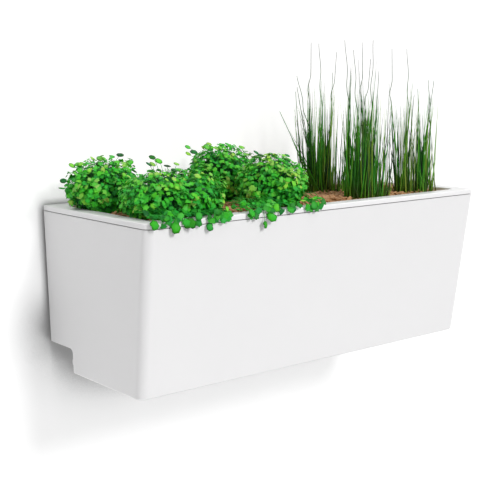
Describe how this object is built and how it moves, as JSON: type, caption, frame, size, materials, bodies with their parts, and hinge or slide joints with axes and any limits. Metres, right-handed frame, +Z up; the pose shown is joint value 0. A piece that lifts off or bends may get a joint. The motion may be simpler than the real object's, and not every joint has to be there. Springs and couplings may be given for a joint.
{
  "type": "self-watering planter box",
  "caption": "Wall-hung white planter box: a moulded shell hooked on a wall rail, with a lift-out planted liner, wicks over a water reservoir, a lidded filler, a level float and an overflow.",
  "frame": {"origin": "middle of the wall rail's four screw holes, on the wall's plane", "axes": "+X to the right seen from the front, +Y into the wall, +Z up; the box's front faces -Y"},
  "size_m": [0.6032, 0.26, 0.449],
  "materials": {
    "white_plastic": "satin moulded polypropylene",
    "liner_plastic": "satin moulded polypropylene",
    "fitting_plastic": "plain moulded plastic",
    "galvanised_steel": "galvanised sheet",
    "steel_pin": "bright drawn pin",
    "grey_rubber": "soft moulded rubber",
    "clear_plastic": "clear moulded cap",
    "red_plastic": "glossy moulded plastic",
    "float_foam": "closed hollow float",
    "wick_felt": "needled felt",
    "potting_soil": "moist potting mix of bark and peat",
    "bark_chips": "loose shredded bark",
    "cress_leaf": "soft round leaves on thin stalks",
    "rush_stem": "smooth upright stems"
  },
  "bodies": {
    "rail": {"wall_rail": "galvanised_steel"},
    "box": {"outer_shell": "white_plastic", "wall_bumpers": "grey_rubber", "drain_spigot": "fitting_plastic", "spigot_seal": "grey_rubber", "spigot_nut": "fitting_plastic", "overflow_standpipe": "fitting_plastic"},
    "bung": {"drain_bung": "grey_rubber"},
    "insert": {"planter_liner": "liner_plastic", "wick_mat": "wick_felt", "wick_tails": "wick_felt", "soil_fill": "potting_soil", "bark_mulch": "bark_chips", "filler_tube": "fitting_plastic", "filler_collar": "liner_plastic", "lid_hinge_pin": "steel_pin", "indicator_tube": "fitting_plastic", "rod_guide": "fitting_plastic", "indicator_cap": "clear_plastic", "cress_back_left": "cress_leaf", "cress_front_left": "cress_leaf", "cress_back_middle": "cress_leaf", "cress_front_middle": "cress_leaf", "rush_left": "rush_stem", "rush_middle": "rush_stem", "rush_right": "rush_stem"},
    "lid": {"filler_lid": "liner_plastic", "lid_seal": "grey_rubber"},
    "gauge": {"level_float": "float_foam", "float_rod": "fitting_plastic", "level_marker": "red_plastic"}
  },
  "joints": [
    {"name": "box_lift", "type": "slide", "parent": "rail", "child": "box", "axis": [0, 0, 1], "range_m": [0, 0.02]},
    {"name": "bung_pull", "type": "slide", "parent": "box", "child": "bung", "axis": [0, 0, -1], "range_m": [0, 0.011]},
    {"name": "liner_lift", "type": "slide", "parent": "box", "child": "insert", "axis": [0, 0, 1], "range_m": [0, 0.22]},
    {"name": "lid_hinge", "type": "hinge", "parent": "insert", "child": "lid", "pos_m": [-0.166, -0.073, 0.0916], "axis": [-1, 0, 0], "range_deg": [0, 105]},
    {"name": "float_rise", "type": "slide", "parent": "insert", "child": "gauge", "axis": [0, 0, 1], "range_m": [0, 0.03]}
  ]
}
